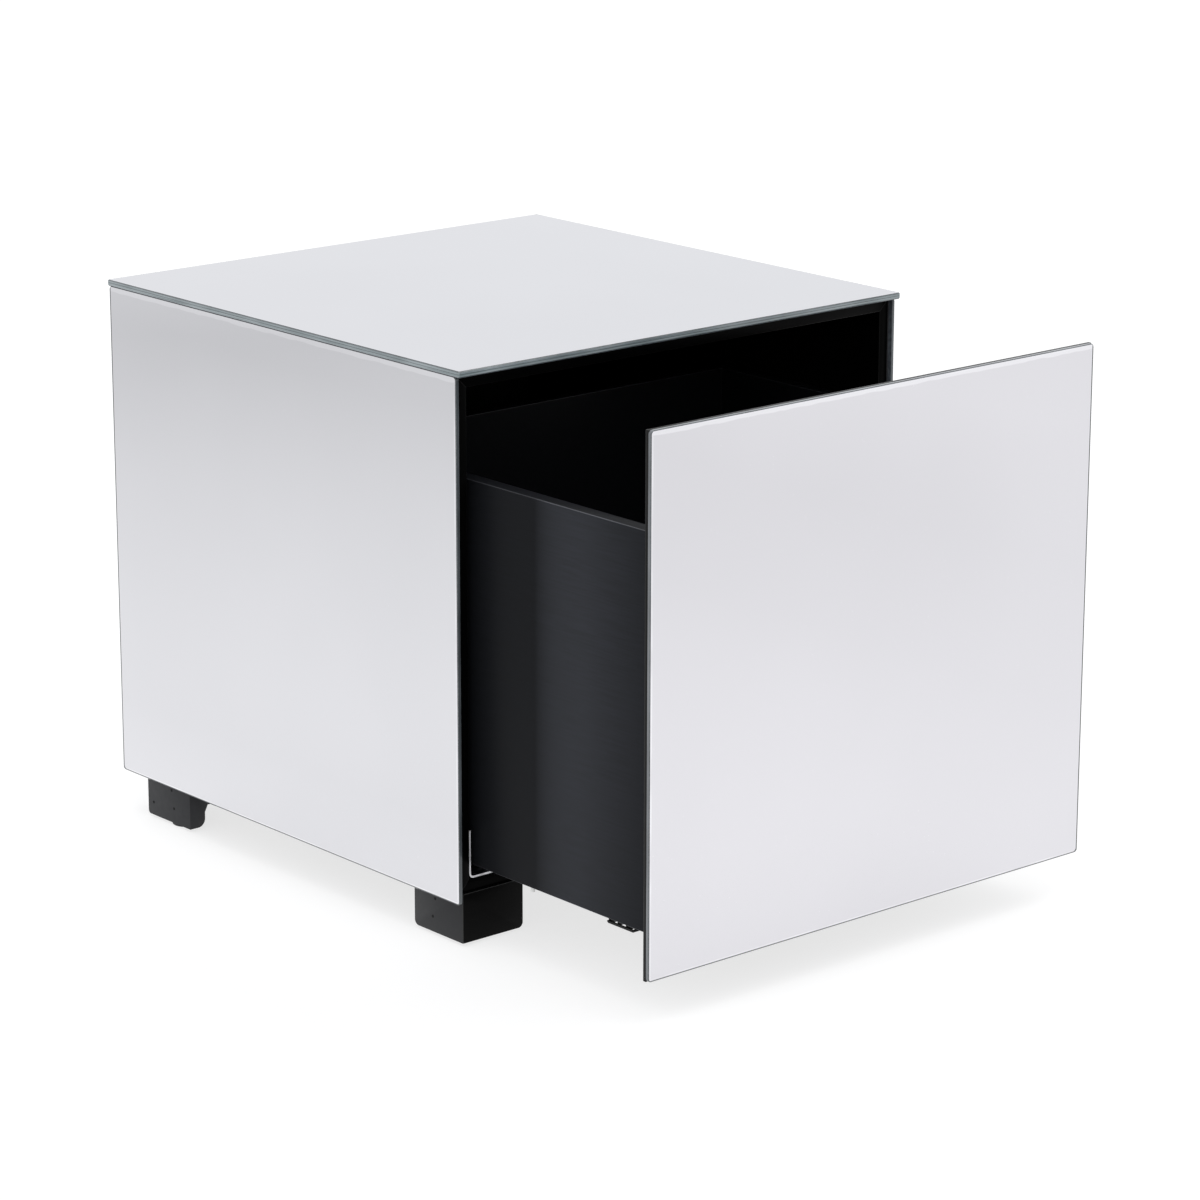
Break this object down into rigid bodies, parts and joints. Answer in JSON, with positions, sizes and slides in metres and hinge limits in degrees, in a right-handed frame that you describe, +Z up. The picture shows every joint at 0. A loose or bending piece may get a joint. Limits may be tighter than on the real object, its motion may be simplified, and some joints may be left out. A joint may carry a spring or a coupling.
{
  "type": "mirrored side table",
  "caption": "Cube-shaped mirror-clad side table or nightstand on short bracket feet, with a handle-less drawer on concealed full-extension runners, shown drawn open.",
  "frame": {"origin": "on the floor, under the centre of the box round the table with its drawer open as stored", "axes": "+Z up, -Y to the front where the drawer comes out, +X to the right seen from the front"},
  "size_m": [0.45, 0.66, 0.447],
  "materials": {
    "mirror": "silvered glass, polished",
    "black_board": "fibreboard with a satin black coat",
    "drawer_board": "fibreboard with a dark grey foil",
    "foam_tape": "matt foam",
    "beech": "plain turned beech",
    "zinc_steel": "zinc plated",
    "black_steel": "painted over in black",
    "black_plastic": "moulded",
    "grey_plastic": "moulded",
    "clear_nylon": "natural nylon",
    "glide_plastic": "moulded"
  },
  "bodies": {
    "cabinet": {"top_mirror": "mirror", "left_side_mirror": "mirror", "right_side_mirror": "mirror", "mirror_tape": "foam_tape", "top_board": "black_board", "bottom_board": "black_board", "left_board": "black_board", "right_board": "black_board", "carcass_dowels": "beech", "back_panel": "black_board", "back_panel_screws": "zinc_steel", "front_left_foot_side": "black_board", "front_left_foot_cross": "black_board", "front_right_foot_side": "black_board", "front_right_foot_cross": "black_board", "rear_left_foot_side": "black_board", "rear_left_foot_cross": "black_board", "rear_right_foot_side": "black_board", "rear_right_foot_cross": "black_board", "foot_blocks": "black_board", "foot_screws": "zinc_steel", "foot_glides": "glide_plastic", "foot_nails": "black_steel", "left_cabinet_profile": "zinc_steel", "right_cabinet_profile": "zinc_steel", "runner_screws": "zinc_steel", "latch_housing": "black_plastic", "latch_screws": "zinc_steel"},
    "drawer": {"drawer_left_side": "drawer_board", "drawer_right_side": "drawer_board", "drawer_inner_front": "drawer_board", "drawer_back": "drawer_board", "drawer_bottom": "drawer_board", "drawer_dowels": "beech", "drawer_front_backing": "black_board", "drawer_front_mirror": "mirror", "front_screws": "zinc_steel", "left_drawer_profile": "zinc_steel", "right_drawer_profile": "zinc_steel", "left_front_clip": "black_plastic", "right_front_clip": "black_plastic", "clip_screws": "zinc_steel", "drawer_studs": "clear_nylon"},
    "left_middle_member": {"left_middle_profile": "zinc_steel"},
    "left_lower_carriage_body": {"left_lower_carriage": "grey_plastic", "left_lower_carriage_rollers": "grey_plastic"},
    "left_upper_carriage_body": {"left_upper_carriage": "grey_plastic", "left_upper_carriage_rollers": "grey_plastic"},
    "right_middle_member": {"right_middle_profile": "zinc_steel"},
    "right_lower_carriage_body": {"right_lower_carriage": "grey_plastic", "right_lower_carriage_rollers": "grey_plastic"},
    "right_upper_carriage_body": {"right_upper_carriage": "grey_plastic", "right_upper_carriage_rollers": "grey_plastic"},
    "latch_plunger_body": {"latch_plunger": "grey_plastic"},
    "left_clip_lever_body": {"left_clip_lever": "grey_plastic"},
    "right_clip_lever_body": {"right_clip_lever": "grey_plastic"}
  },
  "joints": [
    {"name": "drawer_slide", "type": "slide", "parent": "cabinet", "child": "drawer", "axis": [0, -1, 0], "range_m": [-0.2075, 0.14]},
    {"name": "left_middle_member_slide", "type": "slide", "parent": "cabinet", "child": "left_middle_member", "axis": [0, -1, 0], "range_m": [-0.10375, 0.07]},
    {"name": "left_lower_carriage_body_slide", "type": "slide", "parent": "cabinet", "child": "left_lower_carriage_body", "axis": [0, -1, 0], "range_m": [-0.05187, 0.035]},
    {"name": "left_upper_carriage_body_slide", "type": "slide", "parent": "cabinet", "child": "left_upper_carriage_body", "axis": [0, -1, 0], "range_m": [-0.15562, 0.105]},
    {"name": "right_middle_member_slide", "type": "slide", "parent": "cabinet", "child": "right_middle_member", "axis": [0, -1, 0], "range_m": [-0.10375, 0.07]},
    {"name": "right_lower_carriage_body_slide", "type": "slide", "parent": "cabinet", "child": "right_lower_carriage_body", "axis": [0, -1, 0], "range_m": [-0.05187, 0.035]},
    {"name": "right_upper_carriage_body_slide", "type": "slide", "parent": "cabinet", "child": "right_upper_carriage_body", "axis": [0, -1, 0], "range_m": [-0.15562, 0.105]},
    {"name": "latch_plunger_slide", "type": "slide", "parent": "cabinet", "child": "latch_plunger_body", "axis": [0, 1, 0], "range_m": [0, 0.003], "stiffness_N_per_m": 200, "springref_m": -0.001},
    {"name": "left_clip_lever_slide", "type": "slide", "parent": "drawer", "child": "left_clip_lever_body", "axis": [1, 0, 0], "range_m": [0, 0.004], "stiffness_N_per_m": 300, "springref_m": -0.002},
    {"name": "right_clip_lever_slide", "type": "slide", "parent": "drawer", "child": "right_clip_lever_body", "axis": [-1, 0, 0], "range_m": [0, 0.004], "stiffness_N_per_m": 300, "springref_m": -0.002}
  ],
  "couplings": [
    {"joint": "left_middle_member_slide", "follows": "drawer_slide", "ratio": 0.5},
    {"joint": "left_lower_carriage_body_slide", "follows": "drawer_slide", "ratio": 0.25},
    {"joint": "left_upper_carriage_body_slide", "follows": "drawer_slide", "ratio": 0.75},
    {"joint": "right_middle_member_slide", "follows": "drawer_slide", "ratio": 0.5},
    {"joint": "right_lower_carriage_body_slide", "follows": "drawer_slide", "ratio": 0.25},
    {"joint": "right_upper_carriage_body_slide", "follows": "drawer_slide", "ratio": 0.75}
  ]
}
